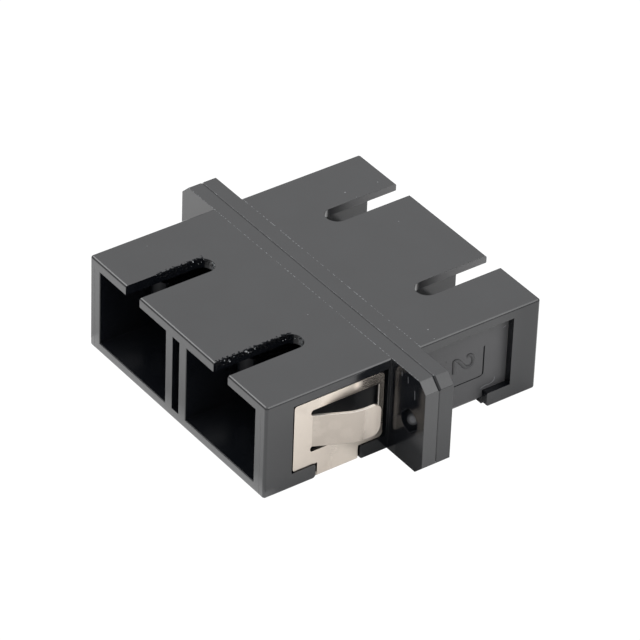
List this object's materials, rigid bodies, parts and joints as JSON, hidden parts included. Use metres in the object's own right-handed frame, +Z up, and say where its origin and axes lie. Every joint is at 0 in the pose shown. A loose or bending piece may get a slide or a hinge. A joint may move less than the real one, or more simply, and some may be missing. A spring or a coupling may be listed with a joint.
{
  "type": "duplex fibre adapter",
  "caption": "Panel-mount coupler that joins square push-pull fibre plugs end to end in side-by-side ports, with a screw flange and a spring clip.",
  "frame": {"origin": "centre of the underside, below the weld seam between the two housings", "axes": "+X across the two ports, -Y out of the ports on the clip side, +Z up from the underside to the keyways"},
  "size_m": [0.0346, 0.0276, 0.0091],
  "materials": {
    "shell": "moulded black, satin",
    "insert": "moulded black, satin",
    "clip": "bright spring steel, rolled",
    "sleeve": "plain bronze"
  },
  "bodies": {
    "root": {"front_housing": "shell", "rear_housing": "shell", "panel_clip": "clip", "latch_insert_front_left": "insert", "latch_insert_front_right": "insert", "latch_insert_rear_left": "insert", "latch_insert_rear_right": "insert", "alignment_sleeve_left": "sleeve", "alignment_sleeve_right": "sleeve"}
  },
  "joints": []
}
